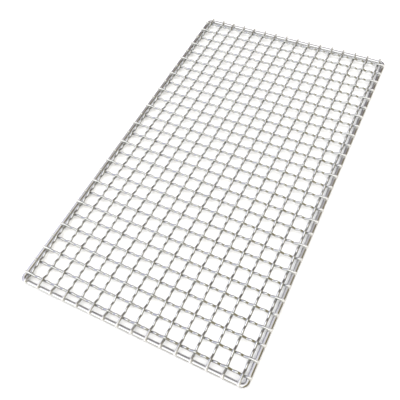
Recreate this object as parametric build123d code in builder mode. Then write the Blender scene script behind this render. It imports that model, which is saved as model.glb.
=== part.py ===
"""A flat barbecue net for a hibachi: crimped wires woven square and welded to a round rim rod."""

from build123d import *
from math import asin, atan2, cos, degrees, hypot, radians, sin
import os

# Rim rod, a closed rectangle of round bar with rounded corners
outer_width = 170.0            # across the rim rod, along X
outer_length = 300.0           # across the rim rod, along Y
rim_diameter = 3.5
rim_corner_radius = 3.4        # at the middle of the bar

# Woven mesh
wire_diameter = 1.8
mesh_pitch = 10.57             # middle to middle of neighbouring wires, both ways
long_wire_count = 16           # wires that run along Y
cross_wire_count = 28          # wires that run along X
crimp_radius = 1.9             # of every bend in a wire, at the middle of the wire
middle_crimp_share = 0.45      # depth of a crimp between crossings, against one at a crossing
contact_gap = 0.02             # between two wires where they cross; a wire is half of it off the rim rod
end_wrap_angle = 31.5          # how far a wire's end goes over the top of the rim rod, in degrees

# Worked out from the sizes above
rim_radius = rim_diameter / 2
wire_radius = wire_diameter / 2
rim_half_width = outer_width / 2 - rim_radius
rim_half_length = outer_length / 2 - rim_radius
mesh_height = rim_diameter                            # the mesh's middle plane is level with the rod's top
crossing_depth = wire_radius + contact_gap / 2        # of a wire's middle at a crossing, from that plane
middle_depth = crossing_depth * middle_crimp_share
end_radius = rim_radius + crossing_depth              # of a wire's end, about the middle of the rim rod


def places(count):
    """Positions of evenly spaced wires, centred on zero."""
    return [mesh_pitch * (index - (count - 1) / 2) for index in range(count)]


def slope_for(length, drop, radius_sum):
    """Angle of the straight runs that, with their tangent arcs, cover a length and a drop."""
    reach = radius_sum - drop
    return degrees(asin(radius_sum / hypot(length, reach)) - atan2(reach, length))


def draw_step(start, rise, slope, radius_in, radius_out):
    """Draw one level-to-level step of a wire in the open BuildLine, and return where it ends."""
    along, height = start
    angle = radians(slope)
    side = 1 if rise > 0 else -1
    run = (abs(rise) - (radius_in + radius_out) * (1 - cos(angle))) / sin(angle)
    run_start = (along + radius_in * sin(angle), height + side * radius_in * (1 - cos(angle)))
    run_end = (run_start[0] + run * cos(angle), run_start[1] + side * run * sin(angle))
    JernArc(start=start, tangent=(1, 0), radius=radius_in, arc_size=side * slope)
    Line(run_start, run_end)
    JernArc(
        start=run_end,
        tangent=(cos(angle), side * sin(angle)),
        radius=radius_out,
        arc_size=-side * slope,
    )
    return run_end[0] + radius_out * sin(angle), height + rise


def crimped_wire(plane, rim_distance, crossings, first_side):
    """Sweep one wire from rim to rim. first_side is 1 if it passes over its first crossing, or -1."""
    half_mesh = mesh_pitch * (crossings - 1) / 2
    last_side = first_side * (-1) ** (crossings - 1)
    mesh_slope = slope_for(mesh_pitch, 2 * crossing_depth + 4 * middle_depth, 6 * crimp_radius)
    edge_slope = slope_for(rim_distance - half_mesh, 2 * crossing_depth, end_radius + crimp_radius)
    outer_drop = crossing_depth + middle_depth
    rod_top = mesh_height + crossing_depth
    shoulder = radians(end_wrap_angle)
    tip = (
        -rim_distance - end_radius * sin(shoulder),
        mesh_height - rim_radius + end_radius * cos(shoulder),
    )

    with BuildPart() as wire:
        with BuildLine(plane) as route:
            # The end lies on the rod's outer shoulder and comes up to the rod's top
            JernArc(
                start=tip,
                tangent=(cos(shoulder), sin(shoulder)),
                radius=end_radius,
                arc_size=-end_wrap_angle,
            )
            point = (-rim_distance, rod_top)

            # From the rim to the first crossing
            if first_side > 0:
                Line(point, (-half_mesh, rod_top))
                point = (-half_mesh, rod_top)
            else:
                point = draw_step(point, -2 * crossing_depth, edge_slope, end_radius, crimp_radius)

            # From each crossing to the next, with two shallower crimps between them
            for index in range(crossings - 1):
                side = first_side * (-1) ** index
                for drop in (outer_drop, -2 * middle_depth, outer_drop):
                    point = draw_step(point, -side * drop, mesh_slope, crimp_radius, crimp_radius)

            # From the last crossing to the rim, and over it
            if last_side > 0:
                Line(point, (rim_distance, rod_top))
            else:
                draw_step(point, 2 * crossing_depth, edge_slope, crimp_radius, end_radius)
            JernArc(
                start=(rim_distance, rod_top),
                tangent=(1, 0),
                radius=end_radius,
                arc_size=-end_wrap_angle,
            )
        with BuildSketch(Plane(origin=route.line @ 0, z_dir=route.line % 0)):
            Circle(wire_radius)
        sweep(path=route.line)
    return wire


os.makedirs("parts", exist_ok=True)

# Rim rod: one bar bent round and butt-welded
with BuildPart() as rim_rod:
    with BuildLine(Plane.XY.offset(rim_radius)) as rim_route:
        half_rim = [
            (rim_half_width, 0),
            (rim_half_width, rim_half_length),
            (-rim_half_width, rim_half_length),
            (-rim_half_width, 0),
        ]
        FilletPolyline(*half_rim, radius=rim_corner_radius)
        mirror(about=Plane.XZ)
    with BuildSketch(Plane(origin=(rim_half_width, 0, rim_radius), z_dir=(0, 1, 0))):
        Circle(rim_radius)
    sweep(path=rim_route.line)
rim_rod.part.label = "rim_rod"
export_step(rim_rod.part, "parts/rim_rod.step")

# Long wires, which pass under the first cross wire where their own number is odd
for number, position in enumerate(places(long_wire_count), start=1):
    wire_plane = Plane(origin=(position, 0, 0), x_dir=(0, 1, 0), z_dir=(1, 0, 0))
    long_wire = crimped_wire(wire_plane, rim_half_length, cross_wire_count, -1 if number % 2 else 1)
    long_wire.part.label = f"long_wire_{number:02d}"
    export_step(long_wire.part, f"parts/long_wire_{number:02d}.step")

# Cross wires, which pass over the first long wire where their own number is odd
for number, position in enumerate(places(cross_wire_count), start=1):
    wire_plane = Plane(origin=(0, position, 0), x_dir=(1, 0, 0), z_dir=(0, -1, 0))
    cross_wire = crimped_wire(wire_plane, rim_half_width, long_wire_count, 1 if number % 2 else -1)
    cross_wire.part.label = f"cross_wire_{number:02d}"
    export_step(cross_wire.part, f"parts/cross_wire_{number:02d}.step")
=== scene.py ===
import math
import random

import bpy
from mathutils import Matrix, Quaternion, Vector


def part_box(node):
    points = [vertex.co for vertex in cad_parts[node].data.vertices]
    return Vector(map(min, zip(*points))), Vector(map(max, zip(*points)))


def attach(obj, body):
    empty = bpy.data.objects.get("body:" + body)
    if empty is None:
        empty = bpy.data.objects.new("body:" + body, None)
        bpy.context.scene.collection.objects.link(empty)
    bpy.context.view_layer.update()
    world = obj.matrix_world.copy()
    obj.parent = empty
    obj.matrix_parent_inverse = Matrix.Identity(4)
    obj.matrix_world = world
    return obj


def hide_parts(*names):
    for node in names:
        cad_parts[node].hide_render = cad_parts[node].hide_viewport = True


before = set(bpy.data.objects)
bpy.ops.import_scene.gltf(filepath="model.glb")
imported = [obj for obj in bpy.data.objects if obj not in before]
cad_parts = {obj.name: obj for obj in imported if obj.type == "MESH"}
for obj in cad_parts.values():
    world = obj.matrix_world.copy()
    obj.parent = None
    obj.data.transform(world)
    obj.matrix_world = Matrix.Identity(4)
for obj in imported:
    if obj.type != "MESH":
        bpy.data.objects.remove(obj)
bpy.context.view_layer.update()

MM = 0.001

# ---------------------------------------------------------------- the net's sizes
LONG_WIRES = sorted(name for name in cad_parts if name.startswith("long_wire"))
CROSS_WIRES = sorted(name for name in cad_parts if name.startswith("cross_wire"))

# The rim rod, read from the frame apart from its corners
RIM_LOW, RIM_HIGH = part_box("rim_rod")
RIM_RADIUS = (RIM_HIGH.z - RIM_LOW.z) / 2
RIM_HALF = Vector((RIM_HIGH.x - RIM_RADIUS, RIM_HIGH.y - RIM_RADIUS))      # to the middle of the bar
RIM_CORNER = 3.4 * MM                      # at the middle of the bar

# The wires, read from the frame apart from their crimps
FIRST_LOW, FIRST_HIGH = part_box(LONG_WIRES[0])
WIRE_RADIUS = (FIRST_HIGH.x - FIRST_LOW.x) / 2
MESH_HEIGHT = (FIRST_LOW.z + FIRST_HIGH.z) / 2
CROSSING_DEPTH = (FIRST_HIGH.z - FIRST_LOW.z) / 2 - WIRE_RADIUS            # of a wire's middle at a crossing
MIDDLE_DEPTH = 0.45 * CROSSING_DEPTH       # the same at a crimp between crossings
CRIMP_RADIUS = 1.9 * MM                    # of every bend, at the middle of the wire
END_RADIUS = RIM_RADIUS + CROSSING_DEPTH   # of a wire's end, about the middle of the rim rod
END_WRAP = math.radians(31.5)              # how far the end goes over the rim rod

# Details that only the visual model has
END_BEVEL = 0.1 * MM                       # at the edge of a sheared end
END_FACE_SHARE = 0.86                      # the flat of a sheared end, against the wire's radius
LAST_BEND_LENGTH = 1.0 * MM                # what the drawn lines count for the bend to the second end
WELD_PRESS = 0.22                          # how far a weld squeezes the wire out sideways
WELD_PRESS_FROM = 0.2                      # how far below the wire's middle that starts, in radii
WELD_PRESS_HALF = 0.75 * MM                # how far along the wire it reaches
WELD_SCALE_OUT = 0.9 * MM                  # middle of a wire's dull zone, outwards from the rod's middle
WELD_SCALE_HALF = 1.5 * MM                 # how far along the wire that zone reaches
ROD_SCALE_HALF = 1.1 * MM                  # how far along the rim rod it reaches
DRIFT_WAVES = 3                            # in one wire's sideways drift
DRIFT_SIZE = (0.02, 0.06)                  # of each wave, in mm
DRIFT_TURNS = (1.5, 5.0)                   # of each wave, as half-turns from the net's middle to its rim
LINE_STRETCH = 60                          # the drawn lines' length, against their width

# Fineness of the meshes
RING_POINTS = 20                           # round a wire
ARC_POINTS = 5                             # along each bend of a wire
ROD_RING_POINTS = 40                       # round the rim rod
ROD_RING_GAP = 0.8 * MM                    # along its straight sides
ROD_CORNER_RINGS = 16                      # along each of its corners


def middle(node, axis):
    """The place of a wire's middle along one axis."""
    low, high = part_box(node)
    return (low[axis] + high[axis]) / 2


LONG_PLACES = [middle(name, 0) for name in LONG_WIRES]
CROSS_PLACES = [middle(name, 1) for name in CROSS_WIRES]


# ---------------------------------------------------------------- a wire's middle line
def slope_for(length, drop, radius_sum):
    """Angle of the straight runs that, with their tangent arcs, cover a length and a drop."""
    reach = radius_sum - drop
    return math.asin(radius_sum / math.hypot(length, reach)) - math.atan2(reach, length)


def add_arc(path, start, angle_from, angle_to, radius):
    """Add the points of an arc, in which the wire's slope turns from one angle to another."""
    side = 1 if angle_to > angle_from else -1
    along, height = start
    centre_along = along - side * radius * math.sin(angle_from)
    centre_height = height + side * radius * math.cos(angle_from)
    for step in range(1, ARC_POINTS + 1):
        angle = angle_from + (angle_to - angle_from) * step / ARC_POINTS
        along = centre_along + side * radius * math.sin(angle)
        height = centre_height - side * radius * math.cos(angle)
        path.append((along, height, angle))
    return along, height


def add_step(path, start, rise, slope, radius_in, radius_out):
    """Add one level-to-level step of a wire: a bend, a straight run and a bend back."""
    side = 1 if rise > 0 else -1
    run = (abs(rise) - (radius_in + radius_out) * (1 - math.cos(slope))) / math.sin(slope)
    along, height = add_arc(path, start, 0.0, side * slope, radius_in)
    run_end = (along + run * math.cos(slope), height + side * run * math.sin(slope))
    path.append((*run_end, side * slope))
    return add_arc(path, run_end, side * slope, 0.0, radius_out)


def wire_path(rim_distance, crossings, first_side):
    """The middle line of a wire from rim to rim, as (along, height, slope).

    first_side is 1 where the wire passes over its first crossing, or -1.
    """
    half_mesh = crossings[-1]
    pitch = (crossings[-1] - crossings[0]) / (len(crossings) - 1)
    last_side = first_side * (-1) ** (len(crossings) - 1)
    mesh_slope = slope_for(pitch, 2 * CROSSING_DEPTH + 4 * MIDDLE_DEPTH, 6 * CRIMP_RADIUS)
    edge_slope = slope_for(rim_distance - half_mesh, 2 * CROSSING_DEPTH, END_RADIUS + CRIMP_RADIUS)
    outer_drop = CROSSING_DEPTH + MIDDLE_DEPTH
    rod_top = MESH_HEIGHT + CROSSING_DEPTH
    tip_height = MESH_HEIGHT - RIM_RADIUS + END_RADIUS * math.cos(END_WRAP)
    tip = (-rim_distance - END_RADIUS * math.sin(END_WRAP), tip_height)

    # The end lies on the rod's outer shoulder and comes up to the rod's top
    path = [(*tip, END_WRAP)]
    point = add_arc(path, tip, END_WRAP, 0.0, END_RADIUS)

    # From the rim to the first crossing
    if first_side > 0:
        point = (-half_mesh, rod_top)
        path.append((*point, 0.0))
    else:
        point = add_step(path, point, -2 * CROSSING_DEPTH, edge_slope, END_RADIUS, CRIMP_RADIUS)

    # From each crossing to the next, with two shallower crimps between them
    for index in range(len(crossings) - 1):
        side = first_side * (-1) ** index
        for drop in (outer_drop, -2 * MIDDLE_DEPTH, outer_drop):
            point = add_step(path, point, -side * drop, mesh_slope, CRIMP_RADIUS, CRIMP_RADIUS)

    # From the last crossing to the rim, and over it
    if last_side > 0:
        point = (rim_distance, rod_top)
        path.append((*point, 0.0))
    else:
        point = add_step(path, point, 2 * CROSSING_DEPTH, edge_slope, CRIMP_RADIUS, END_RADIUS)
    add_arc(path, point, 0.0, -END_WRAP, END_RADIUS)
    return path


# ---------------------------------------------------------------- meshes
class Skin:
    """The points and faces of a bar, with what its material needs at each point.

    drawn is a place in the bar's own coordinates, for the lines that drawing leaves along it.
    weld is 1 at a weld and 0 away from it.
    """

    def __init__(self):
        self.vertices = []
        self.faces = []
        self.drawn = []
        self.weld = []

    def add_point(self, place, drawn, weld):
        """Add one point of the surface."""
        self.vertices.append(place)
        self.drawn.append(drawn)
        self.weld.append(weld)

    def make_object(self, name, material):
        """Make an object of it, with smooth shading."""
        mesh = bpy.data.meshes.new(name)
        mesh.from_pydata(self.vertices, [], self.faces)
        mesh.update()
        drawn_layer = mesh.attributes.new("drawn", "FLOAT_VECTOR", "POINT")
        for entry, value in zip(drawn_layer.data, self.drawn):
            entry.vector = value
        weld_layer = mesh.attributes.new("weld", "FLOAT", "POINT")
        for entry, value in zip(weld_layer.data, self.weld):
            entry.value = value
        for polygon in mesh.polygons:
            polygon.use_smooth = True
        mesh.materials.append(material)
        piece = bpy.data.objects.new(name, mesh)
        bpy.context.scene.collection.objects.link(piece)
        return piece


def wander(rng, span):
    """A slow sideways drift along a wire, as a function of the place along it."""
    waves = []
    for _ in range(DRIFT_WAVES):
        size = rng.uniform(*DRIFT_SIZE) * MM
        turns = rng.uniform(*DRIFT_TURNS)
        phase = rng.uniform(0, math.tau)
        waves.append((size, turns, phase))

    def drift(along):
        return sum(size * math.sin(turns * math.pi * along / span + phase) for size, turns, phase in waves)

    return drift


def build_wire(node, place, axis, rim_distance, crossings, first_side, material, seed):
    """Sweep one crimped wire. axis is 0 where it runs along X, and 1 along Y."""
    rng = random.Random(seed)
    drift = wander(rng, rim_distance)
    twist = rng.uniform(0, math.tau)
    path = wire_path(rim_distance, crossings, first_side)
    skin = Skin()

    def add_ring(along, height, slope, radius, length):
        press = math.exp(-((abs(along) - rim_distance) / WELD_PRESS_HALF) ** 2)
        scale = math.exp(-((abs(along) - rim_distance - WELD_SCALE_OUT) / WELD_SCALE_HALF) ** 2)
        for index in range(RING_POINTS):
            angle = math.tau * index / RING_POINTS
            sideways, up = math.cos(angle), math.sin(angle)
            # The weld squeezes metal out sideways where the wire sits on the rim rod
            spread = 1 + WELD_PRESS * press * max(0.0, -up - WELD_PRESS_FROM)
            offset = radius * sideways * spread
            point_along = along - radius * up * math.sin(slope)
            point_across = place + drift(along) + offset
            point_height = height + radius * up * math.cos(slope)
            if axis == 0:
                point = (point_along, point_across, point_height)
            else:
                point = (point_across, point_along, point_height)
            turned = angle + twist
            stretched = length / (LINE_STRETCH * WIRE_RADIUS)
            skin.add_point(point, (math.cos(turned), math.sin(turned), stretched), scale)

    # A sheared end: a flat face inside a slightly rounded edge
    along, height, slope = path[0]
    add_ring(along, height, slope, WIRE_RADIUS * END_FACE_SHARE, 0.0)
    along += END_BEVEL * math.cos(slope)
    height += END_BEVEL * math.sin(slope)
    add_ring(along, height, slope, WIRE_RADIUS, END_BEVEL)

    # The wire between its two ends
    travelled = 0.0
    for before, point in zip(path, path[1:-1]):
        along, height, slope = point
        travelled += math.hypot(along - before[0], height - before[1])
        add_ring(along, height, slope, WIRE_RADIUS, travelled)

    # The other sheared end
    along, height, slope = path[-1]
    bevel_along = along - END_BEVEL * math.cos(slope)
    bevel_height = height - END_BEVEL * math.sin(slope)
    travelled += LAST_BEND_LENGTH
    add_ring(bevel_along, bevel_height, slope, WIRE_RADIUS, travelled)
    add_ring(along, height, slope, WIRE_RADIUS * END_FACE_SHARE, travelled + END_BEVEL)

    # A wire along X has its rings the other way round from one along Y, so its faces turn over
    flip = axis == 0
    rings = len(skin.vertices) // RING_POINTS
    for row in range(rings - 1):
        for index in range(RING_POINTS):
            after = (index + 1) % RING_POINTS
            quad = (
                row * RING_POINTS + index,
                row * RING_POINTS + after,
                (row + 1) * RING_POINTS + after,
                (row + 1) * RING_POINTS + index,
            )
            skin.faces.append(quad if flip else quad[::-1])
    first_cap = tuple(range(RING_POINTS))
    last_cap = tuple((rings - 1) * RING_POINTS + index for index in range(RING_POINTS))
    skin.faces.append(first_cap[::-1] if flip else first_cap)
    skin.faces.append(last_cap if flip else last_cap[::-1])
    piece = skin.make_object(node + "_look", material)
    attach(piece, "root")
    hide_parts(node)


def rim_outline():
    """The middle line of the rim rod, as (point, outward direction), anticlockwise from above."""
    middle_x, middle_y = RIM_HALF.x - RIM_CORNER, RIM_HALF.y - RIM_CORNER
    outline = []

    def add_side(start, end):
        count = max(2, round((end - start).length / ROD_RING_GAP))
        outward = Vector((end.y - start.y, start.x - end.x)).normalized()
        for step in range(count):
            outline.append((start.lerp(end, step / count), outward))

    def add_corner(centre, angle_from):
        for step in range(ROD_CORNER_RINGS):
            angle = angle_from + math.pi / 2 * step / ROD_CORNER_RINGS
            outward = Vector((math.cos(angle), math.sin(angle)))
            outline.append((centre + outward * RIM_CORNER, outward))

    add_side(Vector((RIM_HALF.x, -middle_y)), Vector((RIM_HALF.x, middle_y)))
    add_corner(Vector((middle_x, middle_y)), 0.0)
    add_side(Vector((middle_x, RIM_HALF.y)), Vector((-middle_x, RIM_HALF.y)))
    add_corner(Vector((-middle_x, middle_y)), math.pi / 2)
    add_side(Vector((-RIM_HALF.x, middle_y)), Vector((-RIM_HALF.x, -middle_y)))
    add_corner(Vector((-middle_x, -middle_y)), math.pi)
    add_side(Vector((-middle_x, -RIM_HALF.y)), Vector((middle_x, -RIM_HALF.y)))
    add_corner(Vector((middle_x, -middle_y)), math.pi * 1.5)
    return outline


def build_rim(material):
    """Sweep the rim rod round its rounded rectangle, and note where the wires are welded to it."""
    outline = rim_outline()
    skin = Skin()
    travelled = 0.0
    last = outline[0][0]
    for point, outward in outline:
        travelled += (point - last).length
        last = point
        on_short_side = abs(outward.y) > 0.99
        along, wires = (point.x, LONG_PLACES) if on_short_side else (point.y, CROSS_PLACES)
        nearest = min(abs(along - place) for place in wires)
        scale = math.exp(-(nearest / ROD_SCALE_HALF) ** 2)
        for index in range(ROD_RING_POINTS):
            angle = math.tau * index / ROD_RING_POINTS
            out, up = math.cos(angle), math.sin(angle)
            place = point + outward * RIM_RADIUS * out
            height = RIM_RADIUS + RIM_RADIUS * up
            stretched = travelled / (LINE_STRETCH * RIM_RADIUS)
            skin.add_point((place.x, place.y, height), (out, up, stretched), scale * max(0.0, up))

    rings = len(outline)
    for row in range(rings):
        beyond = (row + 1) % rings
        for index in range(ROD_RING_POINTS):
            after = (index + 1) % ROD_RING_POINTS
            quad = (
                row * ROD_RING_POINTS + index,
                beyond * ROD_RING_POINTS + index,
                beyond * ROD_RING_POINTS + after,
                row * ROD_RING_POINTS + after,
            )
            skin.faces.append(quad)
    piece = skin.make_object("rim_rod_look", material)
    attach(piece, "root")
    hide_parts("rim_rod")


# ---------------------------------------------------------------- materials
CLOUD_SCALE = 90.0                     # of the plating's cloudiness, per metre
SPECK_SCALE = 1400.0                   # of its specks, per metre
LINE_COLOUR = (0.36, 0.36, 0.37, 1)    # of the lines that drawing leaves
WELD_TINT = (0.78, 0.77, 0.75, 1)      # the pale, dull scale that a weld leaves
WELD_COVER = 0.8                       # how much of the colour that scale hides at most
WELD_DULLING = 0.65                    # how much of the metal's mirroring it takes at most
WELD_ROUGHNESS = 0.25                  # what it adds to the roughness at most
BUMP_STRENGTH = 0.25
BUMP_HEIGHT = 0.06 * MM


class Nodes:
    """Short names for building a shader tree."""

    def __init__(self, tree):
        self.tree = tree

    def put(self, value, socket):
        """Link a socket's input to another node, or set its plain value."""
        if isinstance(value, bpy.types.NodeSocket):
            self.tree.links.new(value, socket)
        else:
            socket.default_value = value

    def add(self, kind, inputs=None, **settings):
        """Add a node with its inputs and settings."""
        node = self.tree.nodes.new(kind)
        for key, value in settings.items():
            setattr(node, key, value)
        for key, value in (inputs or {}).items():
            self.put(value, node.inputs[key])
        return node

    def noise(self, vector, scale, detail=4.0, roughness=0.55):
        inputs = {"Vector": vector, "Scale": scale, "Detail": detail, "Roughness": roughness}
        return self.add("ShaderNodeTexNoise", inputs).outputs["Fac"]

    def span(self, value, low, high, to_low, to_high):
        """Move a value smoothly from one range to another."""
        inputs = {"Value": value, "From Min": low, "From Max": high, "To Min": to_low, "To Max": to_high}
        node = self.add("ShaderNodeMapRange", inputs, interpolation_type="SMOOTHSTEP")
        return node.outputs["Result"]

    def maths(self, operation, first, second):
        return self.add("ShaderNodeMath", {0: first, 1: second}, operation=operation).outputs[0]

    def mix(self, factor, first, second, blend="MIX"):
        """Mix two colours. Inputs 6 and 7 and output 2 are the node's colour sockets."""
        inputs = {0: factor, 6: first, 7: second}
        return self.add("ShaderNodeMix", inputs, data_type="RGBA", blend_type=blend).outputs[2]


def new_material(name):
    """A new material with the nodes to build it and its shader's inputs."""
    material = bpy.data.materials.new(name)
    material.use_nodes = True
    shader = material.node_tree.nodes["Principled BSDF"]
    return material, Nodes(material.node_tree), shader.inputs


def plated_steel(name, bright, shade, line_scale):
    """Bright plated steel: lines from drawing, cloudy plating and pale, duller metal by the welds."""
    material, nodes, shader = new_material(name)
    drawn = nodes.add("ShaderNodeAttribute", attribute_name="drawn").outputs["Vector"]
    weld = nodes.add("ShaderNodeAttribute", attribute_name="weld").outputs["Fac"]
    place = nodes.add("ShaderNodeTexCoord").outputs["Object"]
    lines = nodes.noise(drawn, line_scale, detail=6.0)
    cloud = nodes.noise(place, CLOUD_SCALE, detail=3.0)
    specks = nodes.noise(place, SPECK_SCALE, detail=2.0)
    scale = nodes.maths("MULTIPLY", weld, nodes.span(specks, 0.3, 0.6, 0.5, 1.0))

    plating = nodes.mix(nodes.span(cloud, 0.35, 0.7, 0.0, 1.0), bright, shade)
    lined = nodes.mix(nodes.span(lines, 0.3, 0.75, 0.0, 0.35), plating, LINE_COLOUR)
    cover = nodes.maths("MULTIPLY", scale, WELD_COVER)
    nodes.put(nodes.mix(cover, lined, WELD_TINT), shader["Base Color"])
    dulling = nodes.maths("MULTIPLY", scale, WELD_DULLING)
    nodes.put(nodes.maths("SUBTRACT", 1.0, dulling), shader["Metallic"])

    line_roughness = nodes.span(lines, 0.3, 0.7, 0.10, 0.20)
    speck_roughness = nodes.span(specks, 0.5, 0.8, 0.0, 0.12)
    roughness = nodes.maths("ADD", line_roughness, speck_roughness)
    weld_roughness = nodes.maths("MULTIPLY", scale, WELD_ROUGHNESS)
    nodes.put(nodes.maths("ADD", roughness, weld_roughness), shader["Roughness"])

    line_height = nodes.maths("MULTIPLY", lines, 0.6)
    speck_height = nodes.maths("MULTIPLY", specks, 0.2)
    height = nodes.maths("ADD", line_height, speck_height)
    inputs = {"Strength": BUMP_STRENGTH, "Distance": BUMP_HEIGHT, "Height": height}
    nodes.put(nodes.add("ShaderNodeBump", inputs).outputs["Normal"], shader["Normal"])
    return material


def pale_floor():
    """A plain pale table top with a barely uneven, matt surface."""
    material, nodes, shader = new_material("floor_paint")
    place = nodes.add("ShaderNodeTexCoord").outputs["Object"]
    cloud = nodes.noise(place, 4.0)
    nodes.put(nodes.mix(cloud, (0.90, 0.90, 0.90, 1), (0.94, 0.94, 0.94, 1)), shader["Base Color"])
    nodes.put(nodes.span(cloud, 0.3, 0.7, 0.55, 0.7), shader["Roughness"])
    return material


# ---------------------------------------------------------------- build
wire_steel = plated_steel("wire_steel_plated", (0.62, 0.63, 0.62, 1), (0.56, 0.57, 0.56, 1), 5.0)
rim_steel = plated_steel("rim_steel_plated", (0.64, 0.64, 0.65, 1), (0.58, 0.58, 0.59, 1), 6.0)
build_rim(rim_steel)

# The first long wire passes under the first cross wire, and they take turns from there
for number, (node, place) in enumerate(zip(LONG_WIRES, LONG_PLACES)):
    build_wire(node, place, 1, RIM_HALF.y, CROSS_PLACES, 1 if number % 2 else -1, wire_steel, 100 + number)
for number, (node, place) in enumerate(zip(CROSS_WIRES, CROSS_PLACES)):
    build_wire(node, place, 0, RIM_HALF.x, LONG_PLACES, -1 if number % 2 else 1, wire_steel, 200 + number)

# ---------------------------------------------------------------- floor
FLOOR_HALF = 3.0
floor_corners = [
    (-FLOOR_HALF, -FLOOR_HALF, 0),
    (FLOOR_HALF, -FLOOR_HALF, 0),
    (FLOOR_HALF, FLOOR_HALF, 0),
    (-FLOOR_HALF, FLOOR_HALF, 0),
]
floor_mesh = bpy.data.meshes.new("floor")
floor_mesh.from_pydata(floor_corners, [], [(0, 1, 2, 3)])
floor_mesh.materials.append(pale_floor())
floor = bpy.data.objects.new("floor", floor_mesh)
bpy.context.scene.collection.objects.link(floor)

# ---------------------------------------------------------------- light
WORLD_STRENGTH = 2.9
BACKDROP = (0.98, 0.98, 0.98, 1)       # what the camera sees beyond the floor
ROOM_RIGHT = (0.125, 0.105, 0.055, 1)
ROOM_LOW = (0.040, 0.037, 0.022, 1)    # the same room near the floor
ROOM_TOP = (0.18, 0.40)                # between the two, as the direction's Z
ROOM_EDGE = (0.20, 0.46)               # where the room starts on the right, as the direction's X
SCREEN_LEFT = (0.30, 0.30, 0.39, 1)
LEFT_EDGE = (-0.50, -0.80)             # where it turns duller on the left, as the direction's X
DEPTH_STOPS = (                        # what is seen from near to far, as the direction's Y
    (-0.95, (0.12, 0.105, 0.08)),
    (-0.86, (0.36, 0.36, 0.32)),
    (-0.72, (0.42, 0.43, 0.40)),
    (-0.50, (0.85, 0.85, 0.85)),
    (0.30, (0.85, 0.85, 0.87)),
    (0.58, (0.42, 0.44, 0.50)),
    (0.80, (0.36, 0.38, 0.40)),
    (0.95, (0.07, 0.06, 0.068)),
)


def depth_ramp(nodes, direction_y):
    """The colour for a direction's Y, from DEPTH_STOPS."""
    depth = nodes.add("ShaderNodeMapRange", {"Value": direction_y, "From Min": -1.0, "From Max": 1.0})
    ramp = nodes.add("ShaderNodeValToRGB", {0: depth.outputs["Result"]})
    ramp.color_ramp.interpolation = "EASE"
    stops = ramp.color_ramp.elements
    while len(stops) > 1:
        stops.remove(stops[-1])
    for index, (place, colour) in enumerate(DEPTH_STOPS):
        stop = stops[0] if index == 0 else stops.new(0.5)
        stop.position = (place + 1) / 2
        stop.color = (*colour, 1)
    return ramp.outputs["Color"]


def studio_world():
    """What the steel mirrors: bright overhead, greyer near and far, duller on the left, and a dim room
    on the right. The camera itself sees a plain backdrop."""
    world = bpy.data.worlds.new("studio")
    world.use_nodes = True
    world.node_tree.nodes.clear()
    nodes = Nodes(world.node_tree)
    axes = nodes.add("ShaderNodeSeparateXYZ", {0: nodes.add("ShaderNodeTexCoord").outputs["Generated"]})

    overhead = depth_ramp(nodes, axes.outputs["Y"])
    dull = nodes.span(axes.outputs["X"], *LEFT_EDGE, 0.0, 1.0)
    screen = nodes.mix(dull, overhead, SCREEN_LEFT, blend="DARKEN")
    room = nodes.mix(nodes.span(axes.outputs["Z"], *ROOM_TOP, 0.0, 1.0), ROOM_LOW, ROOM_RIGHT)
    around = nodes.mix(nodes.span(axes.outputs["X"], *ROOM_EDGE, 0.0, 1.0), screen, room)

    lit = nodes.add("ShaderNodeBackground", {"Color": around, "Strength": WORLD_STRENGTH})
    plain = nodes.add("ShaderNodeBackground", {"Color": BACKDROP, "Strength": 1.0})
    by_camera = nodes.add("ShaderNodeLightPath").outputs["Is Camera Ray"]
    seen = nodes.add("ShaderNodeMixShader", {0: by_camera, 1: lit.outputs[0], 2: plain.outputs[0]})
    nodes.add("ShaderNodeOutputWorld", {"Surface": seen.outputs[0]})
    bpy.context.scene.world = world


def add_light(name, travel, strength, spread):
    """A soft light for the floor, which the steel doesn't mirror. travel is the way its light goes."""
    data = bpy.data.lights.new(name, "SUN")
    data.energy = strength
    data.angle = math.radians(spread)
    light = bpy.data.objects.new(name, data)
    light.rotation_mode = "QUATERNION"
    light.rotation_quaternion = Vector(travel).to_track_quat("-Z", "Y")
    light.visible_glossy = False
    bpy.context.scene.collection.objects.link(light)


studio_world()
add_light("key", (-0.62, -0.15, -1.0), 1.0, 40)
add_light("fill", (0.0, 0.0, -1.0), 1.4, 150)

# ---------------------------------------------------------------- camera
PITCH = CROSS_PLACES[1] - CROSS_PLACES[0]
CAMERA_AT = Vector((10.69 * PITCH, -19.99 * PITCH, MESH_HEIGHT + 28.59 * PITCH))
CAMERA_AIM = Vector((0.07 * PITCH, -3.96 * PITCH, MESH_HEIGHT))
CAMERA_ROLL = math.radians(-8.5)
SENSOR_WIDTH, LENS = 36.0, 44.8        # in millimetres
camera_data = bpy.data.cameras.new("camera")
camera_data.sensor_width = SENSOR_WIDTH
camera_data.lens = LENS
camera_data.clip_start = 0.01
camera_data.clip_end = 50.0
camera = bpy.data.objects.new("camera", camera_data)
camera.location = CAMERA_AT
camera.rotation_mode = "QUATERNION"
facing = (CAMERA_AIM - CAMERA_AT).to_track_quat("-Z", "Y")
camera.rotation_quaternion = facing @ Quaternion((0, 0, 1), CAMERA_ROLL)
bpy.context.scene.collection.objects.link(camera)
bpy.context.scene.camera = camera
bpy.context.scene.view_settings.view_transform = "Standard"
